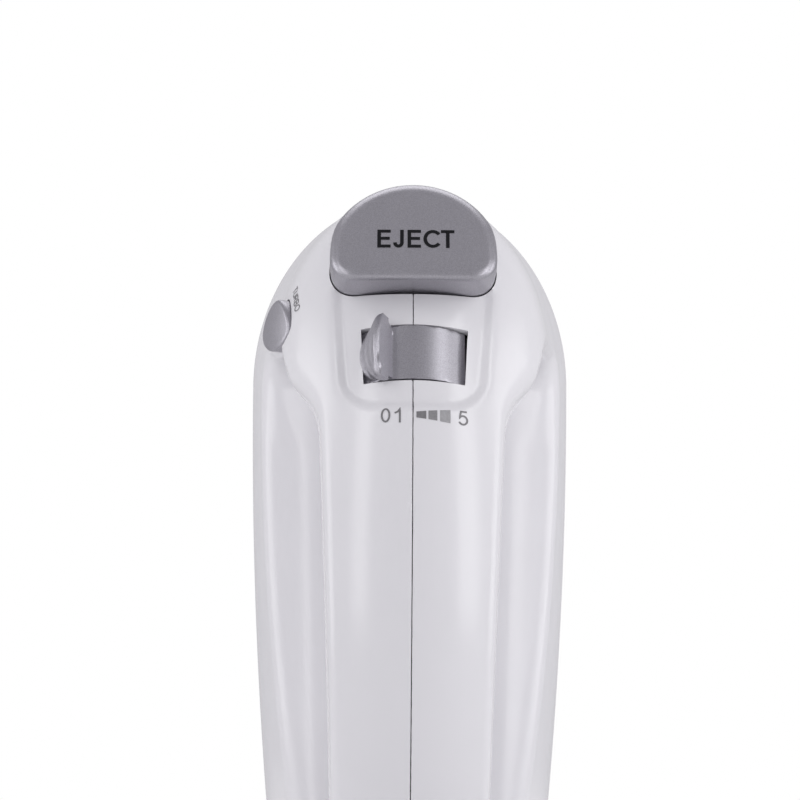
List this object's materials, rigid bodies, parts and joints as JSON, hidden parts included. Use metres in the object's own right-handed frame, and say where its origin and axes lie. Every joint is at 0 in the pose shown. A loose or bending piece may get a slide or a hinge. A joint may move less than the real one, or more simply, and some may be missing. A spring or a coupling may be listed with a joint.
{
  "type": "hand mixer",
  "caption": "Hand mixer with a looped handle, half-moon eject button, speed dial behind a window, side turbo button and two whisking beaters, standing on its heel.",
  "frame": {"origin": "centre of the heel pad ground face, on the motor axis", "axes": "+Z from the heel to the nose, +Y out of the belly along the beaters, +X to the side of the right casing half, -Y is the handle side"},
  "size_m": [0.084, 0.265, 0.2],
  "materials": {
    "casing": "glossy",
    "button": "satin metallic paint on plastic",
    "pad": "matt",
    "gland": "matt",
    "steel": "plain",
    "beater": "polished",
    "frame": "matt",
    "copper": "enamelled wire",
    "lamination": "matt",
    "brass": "plain",
    "carbon": "matt",
    "board": "matt",
    "parts": "matt",
    "gear": "satin"
  },
  "bodies": {
    "casing": {"left_casing": "casing", "right_casing": "casing", "heel_pad": "pad", "cord_gland": "gland", "casing_screws": "steel", "eject_spring": "steel", "dial_carrier": "frame", "speed_switch": "frame", "turbo_switch": "frame", "turbo_spring": "steel", "control_board": "board", "board_components": "parts", "rear_bracket": "frame", "stator_core": "lamination", "field_coils": "copper", "brush_holders": "brass", "carbon_brushes": "carbon", "brush_springs": "steel", "rear_bearing": "brass", "front_bearing": "brass", "tip_bearing": "brass", "gearbox_frame": "frame", "spindle_bushes": "brass"},
    "eject_button": {"eject_button": "button", "eject_fork": "frame"},
    "speed_dial": {"speed_dial": "button", "dial_axle": "steel"},
    "turbo_button": {"turbo_button": "button"},
    "armature": {"motor_shaft": "steel", "armature_core": "lamination", "armature_winding": "copper", "commutator": "brass", "cooling_fan": "frame", "worm": "steel"},
    "left_spindle": {"left_worm_wheel": "gear", "left_spindle": "steel"},
    "right_spindle": {"right_worm_wheel": "gear", "right_spindle": "steel"},
    "left_beater": {"left_beater_shaft": "beater", "left_beater_collar": "beater", "left_beater_ferrules": "beater", "left_beater_blades": "beater"},
    "right_beater": {"right_beater_shaft": "beater", "right_beater_collar": "beater", "right_beater_ferrules": "beater", "right_beater_blades": "beater"}
  },
  "joints": [
    {"name": "eject_press", "type": "slide", "parent": "casing", "child": "eject_button", "axis": [0, 1, 0], "range_m": [0, 0.007], "stiffness_N_per_m": 600, "springref_m": -0.004, "deforming": ["eject_spring"]},
    {"name": "speed_dial_turn", "type": "hinge", "parent": "casing", "child": "speed_dial", "pos_m": [0, -0.07265, 0.1398], "axis": [0, 0.302, 0.9533], "range_deg": [0, 50]},
    {"name": "turbo_press", "type": "slide", "parent": "casing", "child": "turbo_button", "axis": [0.9007, 0.4303, -0.06], "range_m": [0, 0.0025], "stiffness_N_per_m": 800, "springref_m": -0.0015, "deforming": ["turbo_spring"]},
    {"name": "armature_spin", "type": "hinge", "parent": "casing", "child": "armature", "pos_m": [0, 0, 0.073], "axis": [0, 0, 1], "continuous": true},
    {"name": "left_spindle_spin", "type": "hinge", "parent": "casing", "child": "left_spindle", "pos_m": [-0.0195, 0, 0.15], "axis": [0, 1, 0], "continuous": true},
    {"name": "right_spindle_spin", "type": "hinge", "parent": "casing", "child": "right_spindle", "pos_m": [0.0195, 0, 0.15], "axis": [0, 1, 0], "continuous": true},
    {"name": "left_beater_release", "type": "slide", "parent": "left_spindle", "child": "left_beater", "axis": [0, 1, 0], "range_m": [0, 0.007]},
    {"name": "right_beater_release", "type": "slide", "parent": "right_spindle", "child": "right_beater", "axis": [0, 1, 0], "range_m": [0, 0.007]}
  ],
  "couplings": [
    {"joint": "left_spindle_spin", "follows": "armature_spin", "ratio": 0.066667},
    {"joint": "right_spindle_spin", "follows": "armature_spin", "ratio": -0.066667},
    {"joint": "left_beater_release", "follows": "eject_press", "ratio": 1},
    {"joint": "right_beater_release", "follows": "eject_press", "ratio": 1}
  ]
}
